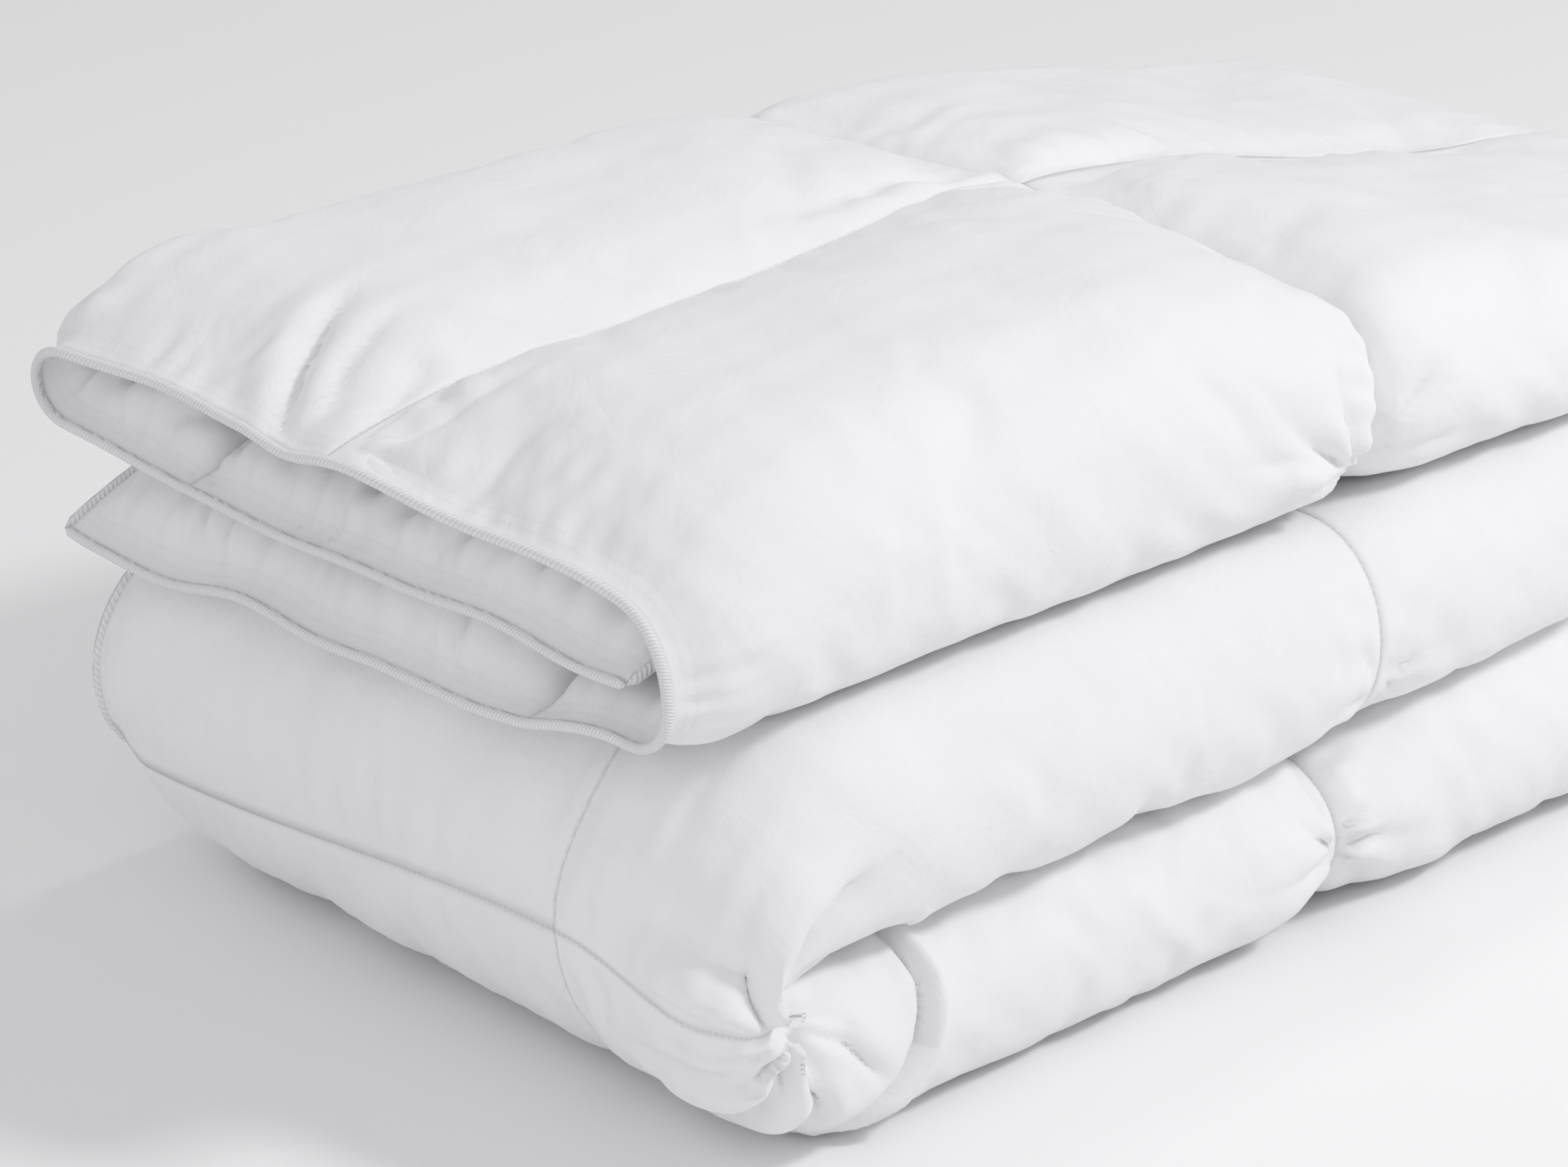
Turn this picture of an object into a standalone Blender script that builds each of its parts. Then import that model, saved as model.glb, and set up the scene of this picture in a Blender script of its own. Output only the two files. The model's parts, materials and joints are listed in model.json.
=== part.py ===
"""A single quilted duvet, folded in three across its width and in three along its length.

Units are metres and +Z is up. The stack of three packets lies along X. The near fold and the open,
piped end of the top packet are at -X. The far fold is at +X. The smooth rolled side is at -Y.

The duvet is worked out flat first: u runs across its width, v along its length and t through its
thickness, towards the front cloth. across_packet() folds u into a packet of three layers, and
in_stack() folds v into three packets. Each sheet and each pocket of filling is a flat slab that is
cut along the lines where it bends, and is then carried through both folds.
"""

import math

import bmesh
import bpy
from mathutils import Vector

# The duvet laid flat
DUVET_WIDTH = 1.35
DUVET_LENGTH = 2.00
COLUMNS = 4
ROWS = 6
CLOTH = 0.0004
PIPING_RADIUS = 0.0022

# The folded stack
LAYER = 0.027
PLUS_ROLL_SHARE = 0.345
MINUS_ROLL_SHARE = 0.655
TOP_OVERHANG = 0.080
BOTTOM_OVERHANG = 0.040
EDGE_PAST_ROLL = 0.004
MOUTH_LENGTH = 0.150
MOUTH_OPENING = 0.15

# Clearances, and how the duvet thins at its seams and edges
SPACE = 0.00025
CLOTH_GAP = 0.0003
SEAM_SPAN = 0.009
SEAM_DEPTH = 0.55
EDGE_SPAN = 0.035
EDGE_DEPTH = 0.70

# Facets
PLUS_ROLL_STEPS = 5
MINUS_ROLL_STEPS = 6
WRAP_STEPS = 7

# Sizes that follow from these
PACKET = 3 * LAYER
HALF_LAYER = LAYER / 2 - SPACE
COLUMN = DUVET_WIDTH / COLUMNS
ROW = DUVET_LENGTH / ROWS
SEAMS_U = [COLUMN * k for k in range(1, COLUMNS)]
SEAMS_V = [ROW * k for k in range(1, ROWS)]

# Where each roll starts and ends across the flat duvet, and where it lies across the packet
PLUS_QUARTER = math.pi / 2 * LAYER
MINUS_QUARTER = math.pi / 2 * 1.5 * LAYER
U_PLUS_IN = PLUS_ROLL_SHARE * DUVET_WIDTH - PLUS_QUARTER
U_PLUS_OUT = PLUS_ROLL_SHARE * DUVET_WIDTH + PLUS_QUARTER
U_MINUS_IN = MINUS_ROLL_SHARE * DUVET_WIDTH - MINUS_QUARTER
U_MINUS_OUT = MINUS_ROLL_SHARE * DUVET_WIDTH + MINUS_QUARTER
FLAT_WIDTH = U_MINUS_IN - U_PLUS_OUT
Y_MINUS = -FLAT_WIDTH / 2
Y_PLUS = FLAT_WIDTH / 2
Y_EDGE = Y_PLUS + LAYER + EDGE_PAST_ROLL

# Where each fold starts and ends along the flat duvet, and where its crease lies along the stack
WRAP_LENGTH = math.pi * PACKET / 2
INNER_LENGTH = (DUVET_LENGTH - TOP_OVERHANG - BOTTOM_OVERHANG - 2 * WRAP_LENGTH) / 3
X_NEAR = -INNER_LENGTH / 2
X_FAR = INNER_LENGTH / 2
V_FAR_IN = TOP_OVERHANG + INNER_LENGTH
V_FAR_OUT = V_FAR_IN + WRAP_LENGTH
V_NEAR_IN = V_FAR_OUT + INNER_LENGTH
V_NEAR_OUT = V_NEAR_IN + WRAP_LENGTH


def across_packet(u, t):
    """Folds the width in three: u and t to a place across the packet and a height in it."""
    if u <= U_PLUS_IN:
        return Y_MINUS + FLAT_WIDTH * u / U_PLUS_IN, 1.5 * LAYER - t
    if u < U_PLUS_OUT:
        angle = math.pi * (u - U_PLUS_IN) / (U_PLUS_OUT - U_PLUS_IN)
        radius = LAYER / 2 + t
        return Y_PLUS + radius * math.sin(angle), 2 * LAYER - radius * math.cos(angle)
    if u <= U_MINUS_IN:
        return Y_PLUS - (u - U_PLUS_OUT), 2.5 * LAYER + t
    if u < U_MINUS_OUT:
        angle = math.pi * (u - U_MINUS_IN) / (U_MINUS_OUT - U_MINUS_IN)
        radius = LAYER + t
        return Y_MINUS - radius * math.sin(angle), 1.5 * LAYER + radius * math.cos(angle)
    share = (u - U_MINUS_OUT) / (DUVET_WIDTH - U_MINUS_OUT)
    return Y_MINUS + (Y_EDGE - Y_MINUS) * share, 0.5 * LAYER - t


def in_stack(region, v, y, height):
    """Folds the length in three: v, and a place in the packet's section, to a point in space."""
    if region == "top":
        opening = MOUTH_OPENING * max(0.0, 1 - v / MOUTH_LENGTH)
        return Vector((X_NEAR - TOP_OVERHANG + v, y, 2 * PACKET + height * (1 + opening)))
    if region == "far_fold":
        angle = math.pi * (v - V_FAR_IN) / WRAP_LENGTH
        x = X_FAR + 2 * SPACE + height * math.sin(angle)
        return Vector((x, y, 2 * PACKET + height * math.cos(angle)))
    if region == "middle":
        return Vector((X_FAR - (v - V_FAR_OUT), y, 2 * PACKET - height))
    if region == "near_fold":
        angle = math.pi * (v - V_NEAR_IN) / WRAP_LENGTH
        reach = PACKET - height
        x = X_NEAR - 2 * SPACE - reach * math.sin(angle)
        return Vector((x, y, PACKET + reach * math.cos(angle)))
    return Vector((X_NEAR + (v - V_NEAR_OUT), y, height))


def fullness(u, v):
    """The duvet's thickness as a share of its fullest: less at a visible seam and at an edge."""
    share = 1.0
    from_seams = [abs(u - seam) for seam in SEAMS_U[1:]] + [abs(v - seam) for seam in SEAMS_V]
    for away in from_seams:
        share = min(share, 1 - SEAM_DEPTH * max(0.0, 1 - away / SEAM_SPAN))
    for away in (u, DUVET_WIDTH - u, v, DUVET_LENGTH - v):
        share = min(share, 1 - EDGE_DEPTH * max(0.0, 1 - away / EDGE_SPAN))
    return share


def front_cloth(u, v):
    outside = fullness(u, v) * HALF_LAYER
    return outside - CLOTH, outside


def back_cloth(u, v):
    outside = fullness(u, v) * HALF_LAYER
    return -outside, CLOTH - outside


def filling(u, v):
    reach = fullness(u, v) * HALF_LAYER - CLOTH - CLOTH_GAP
    return -reach, reach


def evenly(start, end, steps):
    """The places that divide a stretch into equal steps, without its ends."""
    return [start + (end - start) * k / steps for k in range(1, steps)]


def bends_across():
    """The places across the flat duvet where a slab bends or changes thickness."""
    places = [EDGE_SPAN, U_PLUS_IN, U_PLUS_OUT, U_MINUS_IN, U_MINUS_OUT, DUVET_WIDTH - EDGE_SPAN]
    places += evenly(U_PLUS_IN, U_PLUS_OUT, PLUS_ROLL_STEPS)
    places += evenly(U_MINUS_IN, U_MINUS_OUT, MINUS_ROLL_STEPS)
    places += SEAMS_U
    for seam in SEAMS_U[1:]:
        places += [seam - SEAM_SPAN, seam + SEAM_SPAN]
    return sorted(places)


def bends_along(start, end):
    """The places along the flat duvet where a packet's slabs bend or change thickness."""
    places = [EDGE_SPAN, MOUTH_LENGTH, DUVET_LENGTH - EDGE_SPAN]
    for seam in SEAMS_V:
        places += [seam - SEAM_SPAN, seam, seam + SEAM_SPAN]
    return sorted(v for v in places if start < v < end)


def bends_round(start, end):
    """The places along the flat duvet where a fold's slabs bend, one of them on its seam."""
    places = [seam for seam in SEAMS_V if start < seam < end]
    nearest = 0.4 * (end - start) / WRAP_STEPS
    for v in evenly(start, end, WRAP_STEPS):
        if all(abs(v - seam) > nearest for seam in places):
            places.append(v)
    return sorted(places)


# Each region: where it starts and ends along the flat duvet, and where its slabs bend
SPANS = {
    "top": (0.0, V_FAR_IN - SPACE),
    "far_fold": (V_FAR_IN, V_FAR_OUT),
    "middle": (V_FAR_OUT + SPACE, V_NEAR_IN - SPACE),
    "near_fold": (V_NEAR_IN, V_NEAR_OUT),
    "bottom": (V_NEAR_OUT + SPACE, DUVET_LENGTH),
}
BENDS = {
    region: bends_round(*span) if region.endswith("fold") else bends_along(*span)
    for region, span in SPANS.items()
}


def new_material(name, colour, roughness):
    material = bpy.data.materials.new(name)
    material.use_nodes = True
    shader = material.node_tree.nodes["Principled BSDF"]
    shader.inputs["Base Color"].default_value = (*colour, 1.0)
    shader.inputs["Roughness"].default_value = roughness
    shader.inputs["Metallic"].default_value = 0.0
    return material


def cut_across_slab(slab, places, direction):
    for place in places:
        geometry = slab.verts[:] + slab.edges[:] + slab.faces[:]
        bmesh.ops.bisect_plane(slab, geom=geometry, plane_co=direction * place, plane_no=direction)


def split_faces(slab):
    """Splits every face of the slab's two sides along the same diagonal, so that slabs nest."""
    for face in slab.faces[:]:
        if abs(face.normal.z) > 0.5:
            corners = sorted(face.verts, key=lambda vertex: vertex.co.x + vertex.co.y)
            bmesh.utils.face_split(face, corners[0], corners[-1])


def add_slab(name, region, left, right, start, end, depths, material):
    """A sheet, or a pocket of filling, between the two depths that depths() gives."""
    slab = bmesh.new()
    bmesh.ops.create_cube(slab, size=1)
    bmesh.ops.scale(slab, vec=(right - left, end - start, 1), verts=slab.verts)
    bmesh.ops.translate(slab, vec=((left + right) / 2, (start + end) / 2, 0), verts=slab.verts)
    across = [u for u in bends_across() if left + SPACE < u < right - SPACE]
    along = [v for v in BENDS[region] if start + SPACE < v < end - SPACE]
    cut_across_slab(slab, across, Vector((1, 0, 0)))
    cut_across_slab(slab, along, Vector((0, 1, 0)))
    slab.normal_update()
    split_faces(slab)
    for vertex in slab.verts:
        u, v, side = vertex.co
        depth = depths(u, v)[1 if side > 0 else 0]
        vertex.co = in_stack(region, v, *across_packet(u, depth))
    if slab.calc_volume(signed=True) < 0:
        bmesh.ops.reverse_faces(slab, faces=slab.faces)
    mesh = bpy.data.meshes.new(name)
    slab.to_mesh(mesh)
    slab.free()
    add_part(bpy.data.objects.new(name, mesh), region, material)


def add_piping(name, region, points, material):
    """A covered cord along a row of points."""
    curve = bpy.data.curves.new(name, "CURVE")
    curve.dimensions = "3D"
    curve.bevel_depth = PIPING_RADIUS
    curve.bevel_resolution = 1
    curve.use_fill_caps = True
    spline = curve.splines.new("POLY")
    spline.points.add(len(points) - 1)
    for point, place in zip(spline.points, points):
        point.co = (*place, 1)
    add_part(bpy.data.objects.new(name, curve), region, material)


def add_part(part, region, material):
    """Puts a part in the duvet's collection, with its finish, on the packet that carries it."""
    part.data.materials.append(material)
    duvet.objects.link(part)
    part.parent = CARRIER[region]
    part.matrix_parent_inverse = CARRIER[region].matrix_world.inverted()


def add_axis(name, place, parent):
    """An empty on a crease, which the packet beyond that crease turns with."""
    axis = bpy.data.objects.new(name, None)
    duvet.objects.link(axis)
    axis.location = place
    bpy.context.view_layer.update()
    if parent:
        axis.parent = parent
        axis.matrix_parent_inverse = parent.matrix_world.inverted()
    return axis


for leftover in list(bpy.data.objects):
    bpy.data.objects.remove(leftover, do_unlink=True)
duvet = bpy.data.collections.new("duvet")
bpy.context.scene.collection.children.link(duvet)

cotton = new_material("cover_cotton", (0.90, 0.90, 0.895), 0.75)
down = new_material("down_filling", (0.93, 0.92, 0.89), 0.95)
twill_tape = new_material("piping_twill", (0.88, 0.875, 0.86), 0.80)

base = add_axis("bottom_packet_base", (0, 0, 0), None)
near_crease = add_axis("near_crease_axis", (X_NEAR, 0, PACKET), base)
far_crease = add_axis("far_crease_axis", (X_FAR, 0, 2 * PACKET), near_crease)
CARRIER = {
    "top": far_crease,
    "far_fold": near_crease,
    "middle": near_crease,
    "near_fold": base,
    "bottom": base,
}

# The front and back cloths, in each packet and round each fold
for region, (start, end) in SPANS.items():
    for side, depths in (("front", front_cloth), ("back", back_cloth)):
        name = f"{region}_{side}_cloth"
        add_slab(name, region, 0.0, DUVET_WIDTH, start, end, depths, cotton)

# The filling of the two rows of pockets in each packet, a body to each pocket
rows = iter(range(1, ROWS + 1))
for region in ("top", "middle", "bottom"):
    start, end = SPANS[region]
    seam = next(v for v in SEAMS_V if start < v < end)
    for low, high in ((start, seam - SPACE), (seam + SPACE, end)):
        row = next(rows)
        for column in range(COLUMNS):
            left = column * COLUMN + SPACE
            right = (column + 1) * COLUMN - SPACE
            name = f"{region}_fill_r{row}_c{column + 1}"
            add_slab(name, region, left, right, low, high, filling, down)

# The filling that turns round each fold, a body to each column
for region in ("far_fold", "near_fold"):
    for column in range(COLUMNS):
        left = column * COLUMN + SPACE
        right = (column + 1) * COLUMN - SPACE
        add_slab(f"{region}_fill_c{column + 1}", region, left, right, *SPANS[region], filling, down)

# The piping along the two ends and the two sides
reach = PIPING_RADIUS + CLOTH_GAP
for region, v in (("top", -reach), ("bottom", DUVET_LENGTH + reach)):
    places = [0.0] + bends_across() + [DUVET_WIDTH]
    points = [in_stack(region, v, *across_packet(u, 0)) for u in places]
    add_piping(f"{region}_end_piping", region, points, twill_tape)
for edge, u, outwards in (("inner", 0.0, -reach), ("outer", DUVET_WIDTH, reach)):
    y, height = across_packet(u, 0)
    for region, (start, end) in SPANS.items():
        places = [start] + BENDS[region] + [end]
        points = [in_stack(region, v, y + outwards, height) for v in places]
        add_piping(f"{region}_{edge}_edge_piping", region, points, twill_tape)

# The stack stands on Z = 0, with the middle of its footprint at the origin
bpy.context.view_layer.update()
graph = bpy.context.evaluated_depsgraph_get()
corners = []
for part in duvet.objects:
    if part.type != "EMPTY":
        finished = part.evaluated_get(graph)
        shape = finished.to_mesh()
        corners += [finished.matrix_world @ vertex.co for vertex in shape.vertices]
        finished.to_mesh_clear()
lowest = Vector([min(corner[k] for corner in corners) for k in range(3)])
highest = Vector([max(corner[k] for corner in corners) for k in range(3)])
middle = (lowest + highest) / 2
base.location = (-middle.x, -middle.y, -lowest.z)
bpy.context.view_layer.update()

for crease in (near_crease, far_crease):
    print(crease.name, [round(value, 6) for value in crease.matrix_world.translation])
print("overall size", [round(value, 4) for value in highest - lowest])
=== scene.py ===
# %% [markdown]
# # A folded duvet, pocket by pocket
#
# The object is a white single duvet, 1.35 m wide and 2 m long, quilted into 4 columns and 6 rows of
# pockets. Its sides are folded over to make a long packet three layers thick, and the packet is then
# folded twice like a letter, so three packets lie on each other. This lesson builds its looks round
# the packed CAD model, which stays the frame: it says where everything is and how it hinges.
# The first step loads that frame.

# %% The frame
import json
import math

import bpy
import numpy as np
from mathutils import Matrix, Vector

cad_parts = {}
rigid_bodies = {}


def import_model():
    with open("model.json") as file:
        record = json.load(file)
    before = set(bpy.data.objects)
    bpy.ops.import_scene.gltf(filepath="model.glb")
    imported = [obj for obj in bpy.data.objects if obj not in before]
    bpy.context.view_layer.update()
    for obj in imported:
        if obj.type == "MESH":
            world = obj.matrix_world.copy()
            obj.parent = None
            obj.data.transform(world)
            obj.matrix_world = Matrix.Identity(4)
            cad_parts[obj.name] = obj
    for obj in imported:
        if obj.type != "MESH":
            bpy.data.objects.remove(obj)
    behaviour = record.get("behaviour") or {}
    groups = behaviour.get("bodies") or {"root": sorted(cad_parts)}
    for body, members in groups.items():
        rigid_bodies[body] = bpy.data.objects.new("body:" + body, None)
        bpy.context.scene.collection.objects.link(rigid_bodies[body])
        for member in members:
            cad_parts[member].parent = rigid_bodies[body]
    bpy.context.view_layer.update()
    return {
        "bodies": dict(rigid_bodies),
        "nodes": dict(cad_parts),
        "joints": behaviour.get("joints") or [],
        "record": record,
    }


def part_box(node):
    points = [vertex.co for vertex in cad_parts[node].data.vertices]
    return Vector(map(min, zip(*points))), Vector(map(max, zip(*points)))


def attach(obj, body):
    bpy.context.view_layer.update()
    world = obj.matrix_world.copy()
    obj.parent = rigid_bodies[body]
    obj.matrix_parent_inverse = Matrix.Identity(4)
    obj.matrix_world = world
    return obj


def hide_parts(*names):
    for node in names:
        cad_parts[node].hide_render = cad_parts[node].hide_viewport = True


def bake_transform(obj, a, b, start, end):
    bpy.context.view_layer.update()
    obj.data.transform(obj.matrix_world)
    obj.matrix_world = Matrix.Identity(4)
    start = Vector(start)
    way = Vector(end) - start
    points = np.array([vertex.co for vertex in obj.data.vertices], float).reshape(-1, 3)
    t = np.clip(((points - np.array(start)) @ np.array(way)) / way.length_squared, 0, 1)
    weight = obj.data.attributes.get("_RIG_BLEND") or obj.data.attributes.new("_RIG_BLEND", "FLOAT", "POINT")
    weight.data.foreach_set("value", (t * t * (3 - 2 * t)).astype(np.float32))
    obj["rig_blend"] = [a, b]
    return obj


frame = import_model()

# %% [markdown]
# ## The sizes of the duvet and of its folds
#
# Everything is measured on the flat duvet: u runs across its width, v along its length, and t goes
# out from the middle of its thickness towards the front cloth. The folds are then only a rule that
# carries (u, v, t) to a place in the stack. One layer is 27 mm thick, so a packet of three is 81 mm.
# The crease lines are read from the frame's joints and boxes and not typed in again.

# %% Sizes
WIDTH, LENGTH = 1.35, 2.00
COLUMNS, ROWS = 4, 6
LAYER = 0.027
HALF = LAYER / 2 - 0.00025
PACKET = 3 * LAYER
U_PLUS_IN = 0.345 * WIDTH - math.pi / 2 * LAYER
U_PLUS_OUT = 0.345 * WIDTH + math.pi / 2 * LAYER
U_MINUS_IN = 0.655 * WIDTH - math.pi / 2 * 1.5 * LAYER
U_MINUS_OUT = 0.655 * WIDTH + math.pi / 2 * 1.5 * LAYER
FLAT_WIDTH = U_MINUS_IN - U_PLUS_OUT

creases = {joint["name"]: joint["pos_m"] for joint in frame["joints"]}
X_NEAR, X_FAR = creases["near_fold"][0], creases["far_fold"][0]
TABLE_Z = creases["near_fold"][2] - PACKET
Y_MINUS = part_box("middle_front_cloth")[0].y + 1.5 * LAYER
Y_PLUS = Y_MINUS + FLAT_WIDTH
Y_EDGE = Y_PLUS + LAYER + 0.004
TOP_OVERHANG = 0.080
WRAP = math.pi * PACKET / 2
V_FAR_IN = TOP_OVERHANG + X_FAR - X_NEAR
V_FAR_OUT = V_FAR_IN + WRAP
V_NEAR_IN = V_FAR_OUT + X_FAR - X_NEAR
V_NEAR_OUT = V_NEAR_IN + WRAP

U_SEAMS = [WIDTH * k / COLUMNS for k in range(COLUMNS + 1)]
V_SEAMS = [LENGTH * k / ROWS for k in range(ROWS + 1)]
print(f"rolls at y {Y_MINUS:.3f} and {Y_PLUS:.3f}, creases at x {X_NEAR:.3f} and {X_FAR:.3f}")

# %% [markdown]
# ## Small helpers for smooth steps
#
# Cloth has no sharp changes, so every place where one thing turns into another uses a smooth step.
# A hump is a smooth step up and down again. Ripples are a few sine waves with fixed, seeded
# directions, so each run gives the same cloth.

# %% Steps, humps and ripples
def step(x, low, high):
    """0 before low, 1 after high, and smooth between them."""
    share = np.clip((x - low) / (high - low), 0, 1)
    return share * share * (3 - 2 * share)


def hump(x, middle, reach):
    """1 at the middle, 0 further than reach from it."""
    share = np.clip(np.abs(x - middle) / reach, 0, 1)
    return np.cos(share * math.pi / 2) ** 2


def ripples(u, v, wave, seed, count=6):
    """Soft seeded waves between about -1 and 1, with crests about one wave apart."""
    dice = np.random.RandomState(seed)
    total = np.zeros_like(u)
    for _ in range(count):
        turn, size, start = dice.uniform(0, math.pi), dice.uniform(0.7, 1.5), dice.uniform(0, 7)
        along = u * math.cos(turn) + v * math.sin(turn)
        total += np.sin(2 * math.pi * along / (wave * size) + start)
    return total / math.sqrt(count)


print("a hump halfway down:", round(float(hump(np.array([0.05]), 0, 0.1)[0]), 3))

# %% [markdown]
# ## Folding the sides over
#
# The first fold goes across: one side lies inside, a roll at +Y carries it round to the top layer,
# and a wider roll at -Y carries that down to the bottom layer, whose edge ends at +Y. A roll is half
# a circle. Soft bedding never folds quite on its lines, so the seams drift a little: those drifts
# are written as smooth humps on u and v before the folding rule is used.

# %% Across the packet
def across_packet(u, t):
    """Where a point lies across the packet: y, and its height over the packet's underside."""
    plus = np.pi * (u - U_PLUS_IN) / (U_PLUS_OUT - U_PLUS_IN)
    minus = np.pi * (u - U_MINUS_IN) / (U_MINUS_OUT - U_MINUS_IN)
    share = (u - U_MINUS_OUT) / (WIDTH - U_MINUS_OUT)
    zones = [u <= U_PLUS_IN, u <= U_PLUS_OUT, u <= U_MINUS_IN, u <= U_MINUS_OUT]
    y = np.select(zones, [
        Y_MINUS + FLAT_WIDTH * u / U_PLUS_IN,
        Y_PLUS + (LAYER / 2 + t) * np.sin(plus),
        Y_PLUS - (u - U_PLUS_OUT),
        Y_MINUS - (LAYER + t) * np.sin(minus),
    ], Y_MINUS + (Y_EDGE - Y_MINUS) * share)
    height = np.select(zones, [
        1.5 * LAYER - t,
        2 * LAYER - (LAYER / 2 + t) * np.cos(plus),
        2.5 * LAYER + t,
        1.5 * LAYER + (LAYER + t) * np.cos(minus),
    ], 0.5 * LAYER - t)
    return y, height


roll = across_packet(np.array([U_PLUS_OUT, U_MINUS_IN]), 0)[0]
print("the top layer lies between the rolls, at y", [round(float(y), 3) for y in roll])

# %% Where the seams drift
V_LINES = [0, 0.333, 0.667, 1.0, 1.333, 1.667, 2.0]
V_DRIFT = [0, 0.008, 0.0, 0.041, 0.023, -0.011, 0.0]
CROSSING_ALONG, CROSSING_ACROSS = 0.024, 0.014
TOP_SEAM_DRIFT = 0.019
FRONT_SEAM_DRIFT = 0.014
NEAR_SEAM_SLANT = 0.073


def drift(u, v):
    """The flat place whose folded place a point takes, after the folds have pulled the seams about."""
    from_lines = np.interp(v, V_LINES, V_DRIFT)
    crossing = hump(u, 0.710, 0.23) * hump(v, 0.36, 0.26)
    at_front = FRONT_SEAM_DRIFT * step(u, 1.0, WIDTH) * hump(v, 1.333, 0.25)
    v2 = v + from_lines + at_front + CROSSING_ALONG * crossing
    on_top = TOP_SEAM_DRIFT * hump(u, 0.675, 0.15) * (1 - step(v, 0.55, 0.75))
    u2 = u - on_top - CROSSING_ACROSS * crossing
    slant = (1 - step(v2, V_NEAR_IN, V_NEAR_IN + 0.062)) * step(v2, 1.30, 1.40)
    u2 = u2 - NEAR_SEAM_SLANT * slant * hump(u, 1.0125, 0.18)
    return u2, v2


moved = [float(a[0]) for a in drift(np.array([U_SEAMS[2]]), np.array([V_SEAMS[1]]))]
print("the crossing of the top seams drifts to", [round(place, 3) for place in moved])


# %% [markdown]
# ## Folding the packet like a letter
#
# The second fold goes along: the top packet runs to the far crease, turns down into the middle one,
# and that turns at the near crease into the bottom one. Each turn is a half circle round its crease.
# The weight of the stack shows as small changes to that rule: the open end droops, the top packet
# thins towards the far turn, the edge near the lower turn tucks itself in, and the line between the
# two lower packets sags at the front corner.

# %% Down the stack
NEAR_PINCH = 0.047
TUCK_UP, TUCK_IN = 0.014, 0.003
TOP_SHIFT = 0.013
MOUTH_SHIFT = 0.016
END_DROOP, LIP_DROOP = 0.013, 0.011
FAR_THINNER, BACK_THINNER, HILL = 0.48, 0.17, 0.08
CREASE_SAG = 0.012


def folded(u, v, t):
    """The place in the stack of a point of the flat duvet, in metres, as an array of x, y, z."""
    u, v = drift(u, v)
    y, height = across_packet(u, t)
    tuck = (step(u, 1.305, WIDTH) * step(v, V_NEAR_IN - 0.10, V_NEAR_IN)
            * (1 - step(v, V_NEAR_OUT, V_NEAR_OUT + 0.10)))
    height, y = height + TUCK_UP * tuck, y - TUCK_IN * tuck
    y = y + TOP_SHIFT * (1 - step(v, V_FAR_IN, V_FAR_OUT))
    at_mouth = 1 - step(v, -0.01, 0.16)
    y = y + at_mouth * (MOUTH_SHIFT * hump(u, 0.466, 0.12) - MOUTH_SHIFT * step(u, 1.12, WIDTH))
    droop = -END_DROOP * np.clip(1 - v / 0.10, 0, 1.5) ** 2 - LIP_DROOP * at_mouth * step(u, 1.12, WIDTH)
    thinner = (1 - FAR_THINNER * step(v, 0.30, 0.62)
               - BACK_THINNER * step(v, 0.48, 0.66) * (1 - step(u, 0.50, 0.78)))
    thinner = thinner + HILL * hump(v, 0.36, 0.22) * hump(u, 0.70, 0.24)
    far = np.pi * (v - V_FAR_IN) / WRAP
    near = np.pi * (v - V_NEAR_IN) / WRAP
    reach = PACKET - height
    bulge = NEAR_PINCH + (1 - NEAR_PINCH / PACKET) * reach
    zones = [v <= V_FAR_IN, v <= V_FAR_OUT, v <= V_NEAR_IN, v <= V_NEAR_OUT]
    x = np.select(zones, [
        X_NEAR - TOP_OVERHANG + v,
        X_FAR + height * np.sin(far),
        X_FAR - (v - V_FAR_OUT),
        X_NEAR - bulge * np.sin(near),
    ], X_NEAR + (v - V_NEAR_OUT))
    z = np.select(zones, [
        2 * PACKET + height * thinner + droop,
        2 * PACKET + height * np.cos(far) * np.where(far < math.pi / 2, thinner, 1),
        2 * PACKET - height,
        PACKET + reach * np.cos(near),
    ], height)
    sag = (CREASE_SAG * hump(z, 0.085, 0.082) * step(Y_MINUS - y, -0.05, 0.02)
           * (1 - step(x - X_NEAR, 0.15, 0.42)))
    return np.stack([x, y, z - sag + TABLE_Z], axis=1)


corner = folded(np.array([0.675]), np.array([0.333]), np.array([HALF]))[0]
print("seam crossing on the top packet:", [round(float(c), 3) for c in corner])

# %% [markdown]
# ## The shape of a stuffed pocket
#
# A pocket is two sheets sewn together along its four sides and filled with down. From each seam its
# cloth rises in a quarter circle and then runs flat where another layer presses on it. The seam
# itself lies somewhere between the front and the back: deep where the pocket can swell on both
# sides, and close to the front where the fold stretches the front cloth over it. So each seam has
# its own depth, and the pocket blends the depths of its four sides.

# %% Seam depths
U_DEPTH = [1.0, 0.6, 0.5, 0.22, 1.0]
V_DEPTH = [1.0, 1.0, 0.6, 0.18, 0.12, 0.8, 1.0]
RISE = 0.062
HEM = 0.009


def rise(d):
    """How far the cloth has risen at a distance d from a seam, from 0 to 1."""
    return np.sqrt(np.clip(1 - (1 - np.clip(d / RISE, 0, 1)) ** 2, 0, 1))


MOUTH_PLACES = [0, U_PLUS_IN - 0.05, 0.466, U_PLUS_OUT + 0.05, U_MINUS_IN - 0.05,
                0.884, 0.955, 1.01, 1.09, WIDTH]
MOUTH_LEVELS = [0.0035, 0.0035, 0.0, 0.0045, 0.0045, -0.0045, -0.0040, 0.003, 0.0125, 0.0125]


def mouth_level(u):
    """The level of the piped edge at the open end, for each layer."""
    wave = 0.0022 * ripples(u, 0 * u, 0.13, 21, 4)
    pinch = -0.006 * hump(u, 0.657, 0.035)
    return wave + pinch + np.interp(u, MOUTH_PLACES, MOUTH_LEVELS)


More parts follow.
